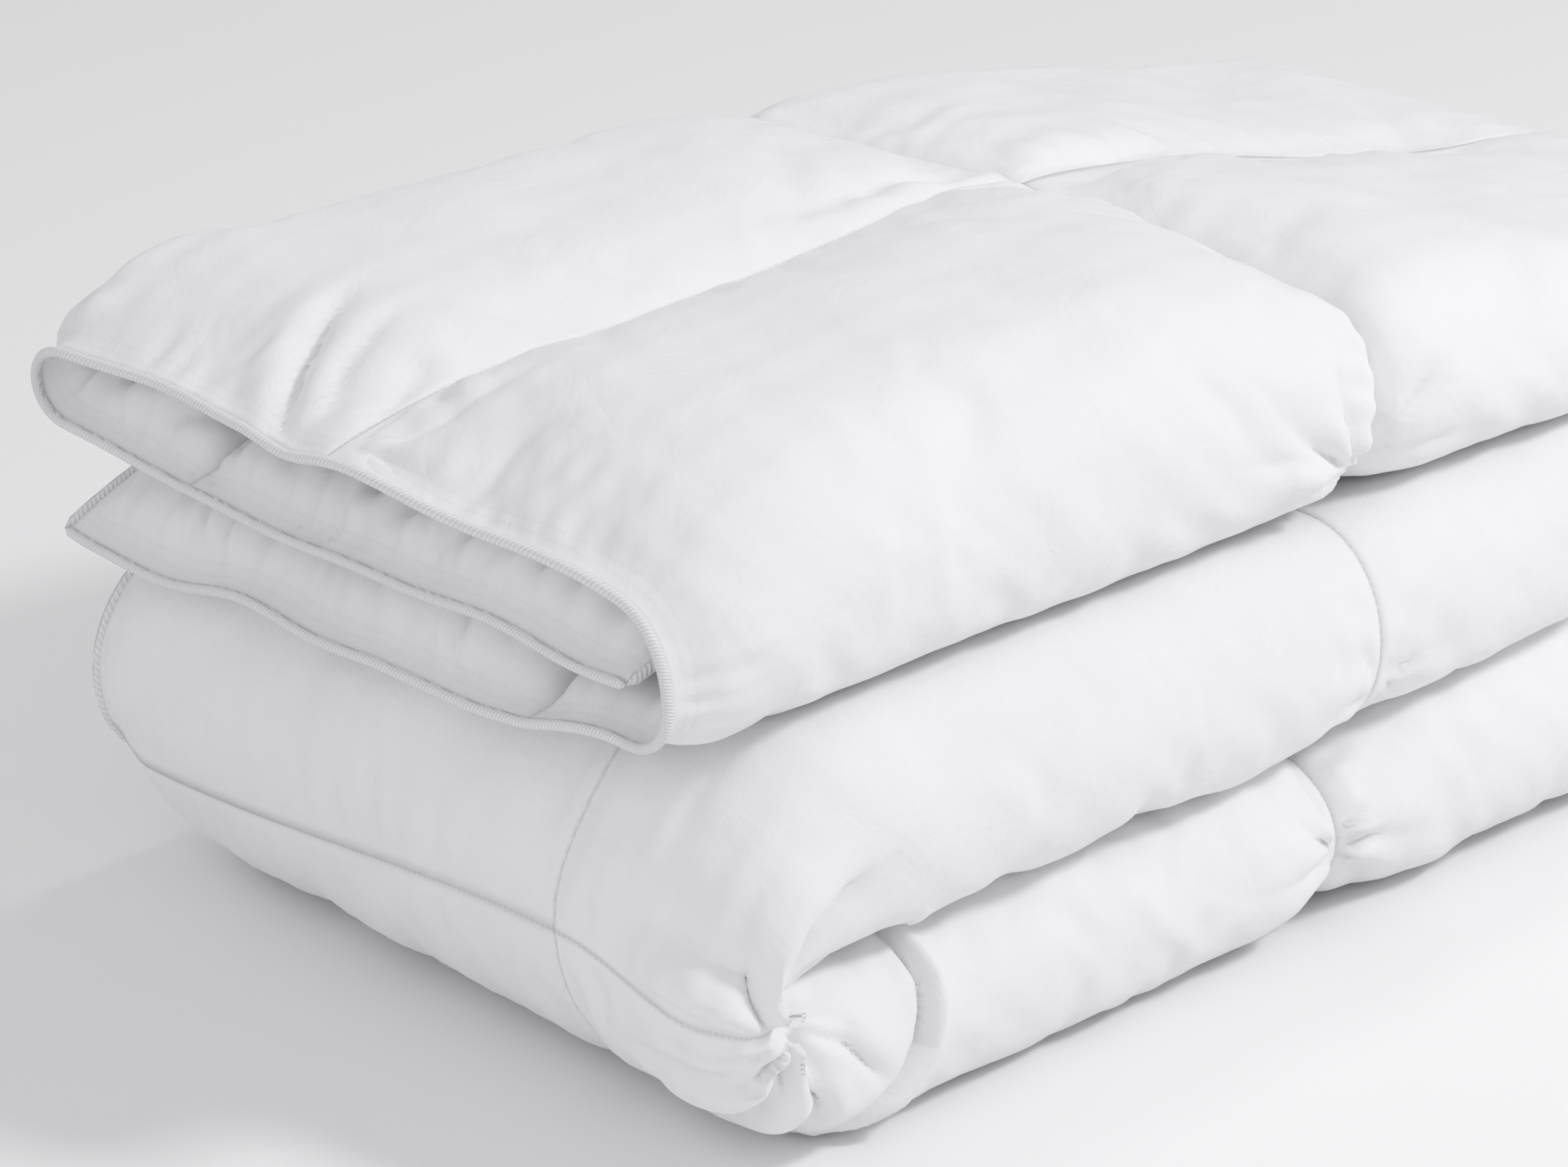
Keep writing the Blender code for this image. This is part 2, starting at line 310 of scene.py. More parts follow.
def u_level(k, v):
    """The level of lengthwise seam k; the middle one fades past the crossing on the top packet."""
    fade = 0.22 * step(v, 0.20, 0.32) + 0.28 * step(v, 0.35, 0.46) if k == 2 else 0.0
    return HALF * (1 - U_DEPTH[k] + fade)


def seam_level(u, v, column, row):
    """The t at which front and back cloth meet, carried into the pocket from its four sides."""
    sides = [
        (u - U_SEAMS[column], u_level(column, v), U_SEAMS[1]),
        (U_SEAMS[column + 1] - u, u_level(column + 1, v), U_SEAMS[1]),
        (v - V_SEAMS[row], mouth_level(u) if row == 0 else HALF * (1 - V_DEPTH[row]), V_SEAMS[1]),
        (V_SEAMS[row + 1] - v, HALF * (1 - V_DEPTH[row + 1]), V_SEAMS[1]),
    ]
    total, weights = 0.0, 0.0
    for d, level, reach in sides:
        weight = np.clip(1 / (np.clip(d, 0, None) + 0.012) - 1 / (reach + 0.012), 0, None)
        total, weights = total + weight * level, weights + weight
    return total / weights


print("rise 10 mm from a seam:", round(float(rise(np.array([0.01]))[0]), 2))

# %% The two skins
CROWNS = [[0, 0.004, 0.012, 0], [0, 0.0, 0.004, 0]]
SEAM_CLOTH = 0.0002


def crown(u, v, column, row):
    """How much the top layer swells above the even thickness, as nothing lies on it."""
    across = np.sin(np.pi * np.clip((u - U_SEAMS[column]) / U_SEAMS[1], 0, 1))
    along = np.sin(np.pi * np.clip((v - V_SEAMS[row]) / V_SEAMS[1], 0, 1))
    on_top = (step(u, U_PLUS_OUT - 0.03, U_PLUS_OUT + 0.04)
              * (1 - step(u, U_MINUS_IN - 0.02, U_MINUS_IN + 0.05)))
    high = CROWNS[row][column] if row < len(CROWNS) else 0
    return high * np.sqrt(across * along) * on_top * (1 - step(v, 0.58, 0.72))


def skin_level(u, v, side, column, row):
    """The t of the front skin (side 1) or the back skin (side 0)."""
    shape = (rise(u - U_SEAMS[column] - HEM * (column == 0))
             * rise(U_SEAMS[column + 1] - u - HEM * (column == COLUMNS - 1))
             * rise(v - V_SEAMS[row] - HEM * (row == 0))
             * rise(V_SEAMS[row + 1] - v - HEM * (row == ROWS - 1)))
    level = seam_level(u, v, column, row)
    front = level + (HALF - level) * shape + crown(u, v, column, row) * shape + SEAM_CLOTH
    back = level - (HALF + level) * shape - SEAM_CLOTH
    return np.where(side > 0.5, front, back)


middle = [np.array([0.5 * WIDTH / COLUMNS]), np.array([0.5 * LENGTH / ROWS])]
full = [float(skin_level(*middle, side, 0, 0)[0]) for side in (1, 0)]
print("a pocket is", round((full[0] - full[1]) * 1000, 1), "mm thick in its middle")


# %% [markdown]
# ## Making a pocket
#
# Each pocket starts as a flat grid in the place it has on the unfolded duvet, and the whole grid is
# extruded, which closes it into a flat box with a front and a back. Its flat place is kept on every
# point as two attributes, flat_u and flat_v, and a third, front, says which skin it belongs to. These
# survive subdivision, so seams, stitches and wrinkles can always be found again by their flat place.

# %% Seams of a pocket
def side_distance(u, v, column, row):
    """How far a flat place is from the nearest seam of its pocket."""
    return np.minimum(np.minimum(u - U_SEAMS[column], U_SEAMS[column + 1] - u),
                      np.minimum(v - V_SEAMS[row], V_SEAMS[row + 1] - v))


print("the middle of a pocket is", round(float(side_distance(0.16875, 1 / 6, 0, 0)), 3), "m from its seams")

# %% Reading and moving points
def only(obj):
    """Makes obj the one selected and active object."""
    bpy.ops.object.select_all(action="DESELECT")
    obj.select_set(True)
    bpy.context.view_layer.objects.active = obj


def points(obj):
    """The object's points as an array."""
    co = np.empty(len(obj.data.vertices) * 3, np.float32)
    obj.data.vertices.foreach_get("co", co)
    return co.reshape(-1, 3).astype(float)


def move_points(obj, co):
    obj.data.vertices.foreach_set("co", np.ascontiguousarray(co, np.float32).ravel())
    obj.data.update()


def keep(obj, name, values):
    """Stores one number on every point."""
    attribute = obj.data.attributes.get(name) or obj.data.attributes.new(name, "FLOAT", "POINT")
    attribute.data.foreach_set("value", np.asarray(values, np.float32))


def kept(obj, name):
    values = np.empty(len(obj.data.vertices), np.float32)
    obj.data.attributes[name].data.foreach_get("value", values)
    return values.astype(float)


print("each pocket will keep", ["flat_u", "flat_v", "front"], "on its points")

# %% A flat pocket
CELLS = 48
SLAB = 0.02


def crease_rim(obj, on_rim):
    """Keeps the sewn rim where it is when the pocket is subdivided."""
    bpy.ops.object.mode_set(mode="EDIT")
    bpy.ops.mesh.select_all(action="DESELECT")
    bpy.ops.object.mode_set(mode="OBJECT")
    for edge in obj.data.edges:
        edge.select = bool(on_rim[edge.vertices[0]] and on_rim[edge.vertices[1]])
    bpy.ops.object.mode_set(mode="EDIT")
    bpy.context.tool_settings.mesh_select_mode = (False, True, False)
    bpy.ops.transform.edge_crease(value=1)
    bpy.context.tool_settings.mesh_select_mode = (True, False, False)
    bpy.ops.object.mode_set(mode="OBJECT")


def flat_pocket(name, column, row):
    """A closed flat box, grid-cut on both faces, where the pocket lies on the open duvet."""
    bpy.ops.object.select_all(action="DESELECT")
    bpy.ops.mesh.primitive_grid_add(x_subdivisions=CELLS, y_subdivisions=CELLS, size=1, location=(0, 0, 0))
    obj = bpy.context.object
    obj.name = obj.data.name = name
    bpy.ops.object.mode_set(mode="EDIT")
    bpy.ops.mesh.select_all(action="SELECT")
    bpy.ops.transform.resize(value=(U_SEAMS[1], V_SEAMS[1], 1))
    bpy.ops.transform.translate(value=(U_SEAMS[column] + U_SEAMS[1] / 2, V_SEAMS[row] + V_SEAMS[1] / 2, 0))
    bpy.ops.mesh.extrude_region_move(TRANSFORM_OT_translate={"value": (0, 0, SLAB)})
    bpy.ops.mesh.select_all(action="SELECT")
    bpy.ops.mesh.normals_make_consistent(inside=False)
    bpy.ops.object.mode_set(mode="OBJECT")
    co = points(obj)
    crease_rim(obj, side_distance(co[:, 0], co[:, 1], column, row) < 1e-5)
    keep(obj, "flat_u", co[:, 0])
    keep(obj, "flat_v", co[:, 1])
    keep(obj, "front", (co[:, 2] > SLAB / 2).astype(float))
    return obj


print("a pocket's face has", CELLS, "by", CELLS, "cells of about", round(U_SEAMS[1] / CELLS * 1000), "mm")

# %% Twenty-four pockets
pockets = {}
for row in range(ROWS):
    for column in range(COLUMNS):
        pocket = flat_pocket(f"pocket_r{row + 1}_c{column + 1}", column, row)
        u, v, side = kept(pocket, "flat_u"), kept(pocket, "flat_v"), kept(pocket, "front")
        move_points(pocket, folded(u, v, skin_level(u, v, side, column, row)))
        pockets[row, column] = pocket
print(len(pockets), "pockets,", sum(len(p.data.polygons) for p in pockets.values()), "faces")


# %% [markdown]
# ## Letting the down push the cloth out
#
# The shape so far is what the sewing gives. What makes a quilt look like cloth is that each pocket
# holds a little more fabric than its stuffed shape needs, so the fabric buckles into creases that
# run into the seams. That is what a cloth simulation is for: every open part of a pocket is let
# go with a small pressure inside and a few percent of extra cloth, and the seams and everything
# pressed between layers are pinned. How far a point may move is capped, and the result is applied.

# %% What lies open
LIP_FREEDOM = 0.8
PRESSED_UNDER = 0.6


def open_air(u, v, side):
    """1 where a point of the cloth has nothing against it, 0 where it is pressed between layers."""
    u2, v2 = drift(u, v)
    plus_roll = (step(u2, U_PLUS_IN - 0.03, U_PLUS_IN + 0.02)
                 * (1 - step(u2, U_PLUS_OUT - 0.02, U_PLUS_OUT + 0.03)))
    minus_roll = (step(u2, U_MINUS_IN - 0.03, U_MINUS_IN + 0.02)
                  * (1 - step(u2, U_MINUS_OUT - 0.02, U_MINUS_OUT + 0.03)))
    top = step(u2, U_PLUS_IN, U_PLUS_OUT) * (1 - step(u2, U_MINUS_IN, U_MINUS_OUT))
    far_turn = (1 - step(v2, V_FAR_OUT - 0.03, V_FAR_OUT + 0.01))
    near_turn = (step(v2, V_NEAR_IN - 0.02, V_NEAR_IN + 0.02)
                 * (1 - step(v2, V_NEAR_OUT - 0.02, V_NEAR_OUT + 0.02)))
    free = np.maximum.reduce([
        plus_roll, minus_roll, top * far_turn, step(u2, U_MINUS_IN, U_MINUS_OUT) * near_turn])
    lips = LIP_FREEDOM * (1 - step(v2, 0.05, 0.13))
    under = 1 - PRESSED_UNDER * step(u2, 0.885, 0.930) * (1 - step(v2, V_NEAR_IN - 0.02, V_NEAR_IN))
    return np.maximum(free * under * (side > 0.5), lips)


share_open = open_air(np.linspace(0, WIDTH, 200), np.full(200, 0.3), np.ones(200)).mean()
print("on the top packet", round(float(share_open) * 100), "% of the front cloth lies open")


# %% Blowing a pocket up
SWELL = {"pressure": 4, "extra": 0.022, "cap": 0.008}
STIFF, SHEAR, BEND = 15, 5, 0.15


def let_go(obj, column, row, pressure, extra, cap, frames=16):
    """Runs the cloth on one pocket with its seams pinned, and keeps the capped result."""
    before = points(obj)
    u, v, side = kept(obj, "flat_u"), kept(obj, "flat_v"), kept(obj, "front")
    free = open_air(u, v, side) * step(side_distance(u, v, column, row), 0.001, 0.012)
    pins = obj.vertex_groups.new(name="pins")
    for index, share in enumerate(free):
        pins.add([index], float(1 - share), "REPLACE")
    only(obj)
    bpy.ops.object.modifier_add(type="CLOTH")
    cloth = obj.modifiers["Cloth"]
    settings = cloth.settings
    settings.quality, settings.mass, settings.air_damping = 5, 0.25, 2
    settings.tension_stiffness = settings.compression_stiffness = STIFF
    settings.shear_stiffness, settings.bending_stiffness = SHEAR, BEND
    settings.use_pressure, settings.uniform_pressure_force = True, pressure
    settings.shrink_min = settings.shrink_max = -extra
    settings.vertex_group_mass, settings.pin_stiffness = "pins", 1
    settings.effector_weights.gravity = 0
    cloth.point_cache.frame_start, cloth.point_cache.frame_end = 1, frames
    for frame_number in range(1, frames + 1):
        bpy.context.scene.frame_set(frame_number)
    bpy.ops.object.modifier_apply(modifier="Cloth")
    bpy.context.scene.frame_set(1)
    obj.vertex_groups.clear()
    moved = points(obj) - before
    far = np.linalg.norm(moved, axis=1)
    kept_share = free * cap * np.tanh(far / cap) / np.maximum(far, 1e-9)
    move_points(obj, before + moved * kept_share[:, None])
    return far.max()


print("a pocket may swell by at most", SWELL["cap"] * 1000, "mm")


# %% The open pockets are let go
SEEN = [(0, 0), (0, 1), (0, 2), (0, 3), (1, 1), (1, 2), (2, 1), (2, 2),
        (3, 1), (3, 2), (3, 3), (4, 1), (4, 2), (4, 3), (5, 1), (5, 2)]
for row, column in SEEN:
    far = let_go(pockets[row, column], column, row, **SWELL)
    print(f"pocket r{row + 1} c{column + 1} swelled, at most {far * 1000:.0f} mm before the cap")

# %% [markdown]
# ## Creases that have a known place
#
# Some creases are not chance: cloth gathers where it is stitched to a shorter thread, it fans out
# from a pinched point, and it folds where a corner turns. These are added after subdivision, as
# small moves along the surface's own normal. A fan is a flower of ridges round a point, a furrow is
# a valley along a path, and gathers are short ridges across a seam that die away from it.

# %% Fans, furrows and gathers
def fan(a, b, lobes, reach, height, turn=0.0, twist=0.0):
    """Folds round the point a = b = 0 that fade beyond the reach: a height below 0 sharpens the ridges."""
    far = np.hypot(a, b)
    angle = np.arctan2(b, a)
    wave = np.abs(np.cos(lobes / 2 * angle + turn + twist * far / reach + 0.5 * np.sin(angle + turn))) - 0.62
    return height * 1.6 * wave * step(far, 0.0, 0.25 * reach) * np.exp(-(far / reach) ** 2)


def furrow(a, b, path, width, depth, lip=0.5):
    """A sharp valley along a path in the plane of a and b, with a soft lip on one side."""
    nearest, along, across = np.full_like(a, 9.0), np.zeros_like(a), np.zeros_like(a)
    count = len(path) - 1
    for k in range(count):
        start, line = np.array(path[k]), np.array(path[k + 1]) - np.array(path[k])
        share = np.clip(((a - start[0]) * line[0] + (b - start[1]) * line[1]) / (line @ line), 0, 1)
        off_a, off_b = a - start[0] - share * line[0], b - start[1] - share * line[1]
        gap = np.hypot(off_a, off_b)
        closer = gap < nearest
        side = np.sign(off_b * line[0] - off_a * line[1])
        nearest, along = np.where(closer, gap, nearest), np.where(closer, (k + share) / count, along)
        across = np.where(closer, gap * side, across)
    ends = np.sin(np.pi * np.clip(along * 0.9 + 0.06, 0, 1)) ** 0.7
    valley = -np.exp(-(nearest / (0.45 * width)) ** 1.3)
    raised = lip * np.exp(-((across - width) / width) ** 2)
    return depth * ends * (valley + raised)


def furrows(a, b, rows):
    """Several furrows, each given as its path, its width and its depth."""
    return sum(furrow(a, b, path, width, depth) for path, width, depth in rows)


def gathers(s, d, wave, seed):
    """Short ridges across a seam: s runs along it and d away from it."""
    dice = np.random.RandomState(seed)
    total = np.zeros_like(s)
    for _ in range(5):
        size, start, lean = dice.uniform(0.6, 1.9), dice.uniform(0, 7), dice.uniform(-0.7, 0.7)
        total += np.sin(2 * np.pi * (s + lean * d) / (wave * size) + start)
    strong = 0.55 + 0.45 * np.sin(2 * np.pi * s / dice.uniform(0.11, 0.19) + dice.uniform(0, 7))
    return total / 2.2 * strong * step(d, 0, 0.009) * np.exp(-d / 0.022)


deep = furrow(np.array([0.05]), np.array([0.0]), [(0, 0), (0.1, 0)], 0.010, 0.006)[0]
print("a furrow of 6 mm is", round(float(-deep) * 1000, 1), "mm deep in its middle")

# %% [markdown]
# ## Puckers along every seam
#
# A sewing machine feeds the lower cloth a little faster than the upper one, so a seam is never
# smooth: short ridges stand across it and die away within a few centimetres. Under them the whole
# cloth is faintly uneven, because down lies in clumps. Both come from the seeded waves.

# %% The unevenness of the cloth
RIPPLE, FINE_RIPPLE, PUCKER = 0.0009, 0.0003, 0.0012


def all_over(u, v, place, column, row):
    """Ripples everywhere, and puckers along the pocket's four seams."""
    x, y, z = place.T
    move = RIPPLE * ripples(x, y + z, 0.085, 11) + FINE_RIPPLE * ripples(x + z, y, 0.034, 12)
    for k, (d, s) in enumerate([(u - U_SEAMS[column], v), (U_SEAMS[column + 1] - u, v),
                                (v - V_SEAMS[row], u), (V_SEAMS[row + 1] - v, u)]):
        move += PUCKER * gathers(s, np.clip(d, 0, None), 0.017, 100 + 4 * row + 31 * column + k)
    return move


print("puckers stand about", PUCKER * 1000, "mm high")

# %% [markdown]
# ## The folds of the top packet
#
# On top, the long seam is pulled in where it meets the piped edge, and folds run back from that
# pinch. More folds leave the crossing of the two seams, where four pockets pull on one point. The
# paths are in metres: along the stack from the near crease, and across it. Those at the crossing
# start from the crossing itself.

# %% On top: the pinch and the crossing
CROSSING = folded(np.array([U_SEAMS[2]]), np.array([V_SEAMS[1]]), np.array([HALF]))[0]
ACROSS_ZERO = -0.004
CROSS_X, CROSS_Y = CROSSING[0] - X_NEAR, CROSSING[1] - ACROSS_ZERO
PINCH_FOLDS = [
    ([(-0.074, 0.062), (-0.050, 0.079), (-0.012, 0.098)], 0.010, 0.0075),
    ([(-0.068, 0.046), (-0.044, 0.060), (-0.008, 0.072)], 0.008, 0.0040),
    ([(-0.070, 0.020), (-0.048, 0.030), (-0.020, 0.042)], 0.013, 0.0055),
    ([(-0.066, 0.008), (-0.046, 0.000), (-0.014, -0.012)], 0.012, 0.0040),
    ([(-0.068, -0.026), (-0.054, -0.036), (-0.032, -0.050)], 0.010, 0.0025),
]
CROSSING_FOLDS = [
    ([(0.004, 0.000), (0.040, 0.001), (0.090, 0.006)], 0.013, 0.0075),
    ([(0.010, -0.010), (0.050, -0.016), (0.085, -0.018)], 0.010, 0.0025),
    ([(-0.010, 0.012), (-0.055, 0.016), (-0.110, 0.014)], 0.012, 0.0050),
]


def on_the_top(ax, y, z):
    across = y - ACROSS_ZERO
    move = fan(ax + 0.074, across - 0.024, 7, 0.050, 0.0014, 0.6, 0.4)
    move = move + furrows(ax, across, PINCH_FOLDS) + furrows(ax - CROSS_X, across - CROSS_Y, CROSSING_FOLDS)
    return step(z, 0.19, 0.21) * move


print("the two top seams cross", [round(float(c), 3) for c in CROSSING])

# %% [markdown]
# ## The notch on the long side
#
# Where the cross seam of the top packet comes down its rolled side, the cloth is nipped in, and
# folds spread from the notch. Along the lower edge of the same side the cloth turns under, and
# slanting ripples show that it turns a little askew. The paths run along the stack and upwards.

# %% On the side of the top packet
NOTCH_FOLDS = [
    ([(0.252, 0.186), (0.275, 0.200), (0.300, 0.219)], 0.010, 0.0060),
    ([(0.250, 0.180), (0.280, 0.184), (0.308, 0.183)], 0.009, 0.0050),
    ([(0.262, 0.196), (0.270, 0.222), (0.272, 0.236)], 0.008, 0.0035),
    ([(0.238, 0.186), (0.215, 0.198), (0.185, 0.204)], 0.010, 0.0030),
]
ASKEW, ASKEW_WAVE = 0.0010, 0.037


def at_the_notch(ax, x, z):
    low = np.exp(-((z - 0.182) / 0.016) ** 2)
    askew = ASKEW * np.sin(2 * np.pi * (x + 0.9 * z) / ASKEW_WAVE + 1.5 * ripples(x, z, 0.1, 5))
    move = fan(ax - 0.246, z - 0.186, 8, 0.046, 0.0040, 0.3, 0.6) + furrows(ax, z, NOTCH_FOLDS) + low * askew
    return step(z, 0.160, 0.168) * move


print(len(NOTCH_FOLDS), "folds spread from the notch")

# %% [markdown]
# ## The swirl between the lower packets
#
# At the front corner the middle packet turns round into the bottom one, and the rolled side has to
# turn with it. The spare cloth is screwed up into a swirl: a fan with rounded ridges and a second
# one with sharp ridges, wound round the same point, then pleats that hang from it and one deep tuck.

# %% On the side of the lower packets
SWIRL_X, SWIRL_Z = -0.060, 0.064
SWIRL_FOLDS = [
    ([(0.016, 0.074), (0.018, 0.056), (0.011, 0.036), (-0.002, 0.021), (-0.020, 0.009)], 0.0046, 0.0110),
    ([(-0.060, 0.076), (-0.076, 0.092), (-0.086, 0.112)], 0.010, 0.0065),
    ([(-0.052, 0.080), (-0.044, 0.100), (-0.020, 0.112)], 0.010, 0.0070),
    ([(-0.070, 0.054), (-0.080, 0.036), (-0.079, 0.018)], 0.0070, 0.0060),
    ([(-0.060, 0.052), (-0.060, 0.032), (-0.052, 0.012)], 0.0062, 0.0070),
    ([(-0.052, 0.054), (-0.040, 0.034), (-0.032, 0.012)], 0.0062, 0.0070),
    ([(-0.048, 0.060), (-0.024, 0.048), (-0.008, 0.028)], 0.0066, 0.0065),
    ([(0.232, 0.060), (0.238, 0.040), (0.228, 0.018)], 0.009, 0.0050),
]


def at_the_swirl(ax, z):
    below = 1 - step(z, 0.150, 0.162)
    to_x, to_z = ax - SWIRL_X, z - SWIRL_Z
    knot = (fan(to_x, to_z, 9, 0.040, 0.0056, 0.5, 2.2) + fan(to_x, to_z, 7, 0.036, -0.0046, 1.3, 1.4)
            + 0.002 * np.exp(-(np.hypot(to_x, to_z) / 0.011) ** 2))
    low_seams = fan(ax - 0.234, z - 0.036, 8, 0.040, 0.0034, 0.9, 0.8) * (1 - step(z, 0.072, 0.082))
    high_seams = fan(ax - 0.256, z - 0.100, 6, 0.036, 0.0022, 0.2, 0.6) * step(z, 0.082, 0.09) * below
    return below * (knot + furrows(ax, z, SWIRL_FOLDS)) + low_seams + high_seams


print("the swirl turns at x", round(SWIRL_X + X_NEAR, 3), "and z", SWIRL_Z)

# %% [markdown]
# ## The lining in the open end
#
# Inside the open end the back cloth shows. It has nothing to hold it smooth, so it stands in soft
# upright folds from the hem inwards. They are moved outwards only, so they can't cut through the
# thin hem.

# %% Inside the open end
LINING_FOLD, LINING_WAVE = 0.0072, 0.031
NARROW_FOLD, NARROW_WAVE = 0.0026, 0.019


def in_the_mouth(u, v, side):
    u2, v2 = drift(u, v)
    top_layer = (step(u2, U_PLUS_OUT - 0.02, U_PLUS_OUT + 0.02)
                 * (1 - step(u2, U_MINUS_OUT, U_MINUS_OUT + 0.02)))
    lining = (1 - step(v2, 0.03, 0.12)) * (1 - side * top_layer)
    upright = np.abs(np.sin(np.pi * (u + 0.2 * v) / LINING_WAVE + 1.6 * ripples(u, v, 0.12, 8)))
    upright = upright * (0.7 + 0.4 * ripples(u, v, 0.2, 9))
    narrow = np.abs(np.sin(np.pi * (u - 0.3 * v) / NARROW_WAVE + 1.2 * ripples(u, v, 0.08, 18)))
    return lining * (LINING_FOLD * upright * step(v, 0.006, 0.022)
                     + NARROW_FOLD * narrow * step(v, 0.006, 0.016))


print("the lining's folds are", LINING_WAVE * 1000, "and", NARROW_WAVE * 1000, "mm apart")

# %% All the creases of one pocket
def creases_on(obj, column, row):
    """How far each point moves along its normal."""
    u, v, side = kept(obj, "flat_u"), kept(obj, "flat_v"), kept(obj, "front")
    place = points(obj)
    x, y, z = place.T
    ax, face = x - X_NEAR, step(-y, 0.12, 0.165)
    move = all_over(u, v, place, column, row) + on_the_top(ax, y, z) + in_the_mouth(u, v, side)
    move = move + face * (at_the_notch(ax, x, z) + at_the_swirl(ax, z))
    return move * open_air(u, v, side) * step(side_distance(u, v, column, row), 0.0, 0.007)


print("creases are worked out for", len(SEEN), "pockets")

# %% Subdivision, then the creases
FINE = [(0, 2), (3, 2), (4, 2)]
OFF_TABLE = 0.0004
for (row, column), pocket in pockets.items():
    if (row, column) in SEEN:
        only(pocket)
        bpy.ops.object.modifier_add(type="SUBSURF")
        pocket.modifiers[-1].levels = pocket.modifiers[-1].render_levels = 2 if (row, column) in FINE else 1
        bpy.ops.object.modifier_apply(modifier=pocket.modifiers[-1].name)
        normals = np.empty(len(pocket.data.vertices) * 3, np.float32)
        pocket.data.vertices.foreach_get("normal", normals)
        move = creases_on(pocket, column, row)
        co = points(pocket) + normals.reshape(-1, 3) * move[:, None]
        co[:, 2] = np.maximum(co[:, 2], TABLE_Z + OFF_TABLE)
        move_points(pocket, co)
faces = sum(len(pocket.data.polygons) for pocket in pockets.values())
print("subdivided and creased", len(SEEN), "pockets,", faces, "faces in all")

# %% [markdown]
# ## The piped edge
#
# The duvet's outer edge is bound with a thin cord covered in twill tape. Each stretch is a grid
# rolled into a tube: one way of the grid runs along the edge and the other way round the cord, and
# both places are kept on its points, because the twill pattern needs them. The tube follows the
# folded edge of the cloth, found with the same folding rule, so it can't come away from it.

# %% A tube along an edge
CORD = 0.0021
STEP = 0.004
AROUND = 10
TIP = 0.15


def smoothed(path, passes=3):
    """Rounds a path's small corners."""
    for _ in range(passes):
        path[1:-1] = path[1:-1] * 0.5 + (path[:-2] + path[2:]) * 0.25
    return path


def across_cord(path):
    """Two directions across the cord at every station, carried along it so that they never twist."""
    ahead = np.gradient(path, axis=0)
    ahead /= np.linalg.norm(ahead, axis=1)[:, None]
    frames, side = [], np.array([0.3, 0.5, 1.0])
    for way in ahead:
        side = side - way * (side @ way)
        side /= np.linalg.norm(side)
        frames.append((side, np.cross(way, side)))
    return [np.array([frame[k] for frame in frames]) for k in (0, 1)]


def close_up(obj):
    """Joins the tube's long seam and closes its two ends."""
    only(obj)
    bpy.ops.object.mode_set(mode="EDIT")
    bpy.ops.mesh.select_all(action="SELECT")
    bpy.ops.mesh.remove_doubles(threshold=0.00005)
    bpy.ops.mesh.select_all(action="DESELECT")
    bpy.ops.mesh.select_non_manifold()
    bpy.ops.mesh.fill()
    bpy.ops.mesh.select_all(action="SELECT")
    bpy.ops.mesh.normals_make_consistent(inside=False)
    bpy.ops.object.mode_set(mode="OBJECT")


def piping(name, u, v, level):
    """A closed round cord along the places that u, v and level give on the flat duvet."""
    path = smoothed(folded(u, v, level))
    count = len(path)
    bpy.ops.object.select_all(action="DESELECT")
    bpy.ops.mesh.primitive_grid_add(x_subdivisions=count - 1, y_subdivisions=AROUND, size=2)
    obj = bpy.context.object
    obj.name = obj.data.name = name
    flat = points(obj)
    station = np.clip(np.rint((flat[:, 0] + 1) / 2 * (count - 1)).astype(int), 0, count - 1)
    turn = (flat[:, 1] + 1) * math.pi
    first, second = (way[station] for way in across_cord(path))
    shrink = np.where((station == 0) | (station == count - 1), TIP, 1.0)
    size = (CORD * shrink)[:, None]
    keep(obj, "flat_u", u[station])
    keep(obj, "flat_v", v[station])
    keep(obj, "cord_along", station * STEP)
    keep(obj, "cord_round", turn / (2 * math.pi))
    move_points(obj, path[station] + size * (first * np.cos(turn)[:, None] + second * np.sin(turn)[:, None]))
    close_up(obj)
    return obj


print("the piping is", round(2 * CORD * 1000, 1), "mm across, in steps of", STEP * 1000, "mm")


# %% The four edges of the duvet
OUT = 0.0012


def edge_level(u, v):
    """The level of the cloth's own edge, from the pocket that each place belongs to."""
    u_in, v_in = np.clip(u, 0, WIDTH - 1e-6), np.clip(v, 0, LENGTH - 1e-6)
    level = np.zeros_like(u_in)
    for column in range(COLUMNS):
        for row in range(ROWS):
            here = ((u_in // U_SEAMS[1]).astype(int) == column) & ((v_in // V_SEAMS[1]).astype(int) == row)
            level = np.where(here, seam_level(u_in, v_in, column, row), level)
    return level


def end_cord(name, v):
    u = np.arange(-OUT, WIDTH + OUT, STEP)
    return piping(name, u, np.full_like(u, v), edge_level(u, np.full_like(u, v)))


def side_cord(name, u, v_start, v_end):
    v = np.arange(v_start, v_end, STEP)
    return piping(name, np.full_like(v, u), v, edge_level(np.full_like(v, u), v))


pipes = {
    "top_end": end_cord("piping_top_end", -OUT),
    "bottom_end": end_cord("piping_bottom_end", LENGTH + OUT),
}
for edge, u in (("inner", -OUT), ("outer", WIDTH + OUT)):
    pipes[edge, "upper"] = side_cord(f"piping_{edge}_upper", u, -OUT, V_SEAMS[3] + STEP / 2)
    pipes[edge, "lower"] = side_cord(f"piping_{edge}_lower", u, V_SEAMS[3], LENGTH + OUT)
print("piping pieces:", [(obj.name, len(obj.data.polygons)) for obj in pipes.values()])


# %% [markdown]
# ## Writing a finish as sums
#
# A finish is a small calculation for every point of the surface. Two helpers keep it readable: a
# Wire is one output of a node that can be used in ordinary sums, and a Finish is one material,
# whose single method adds any node, its settings first and then its sockets.

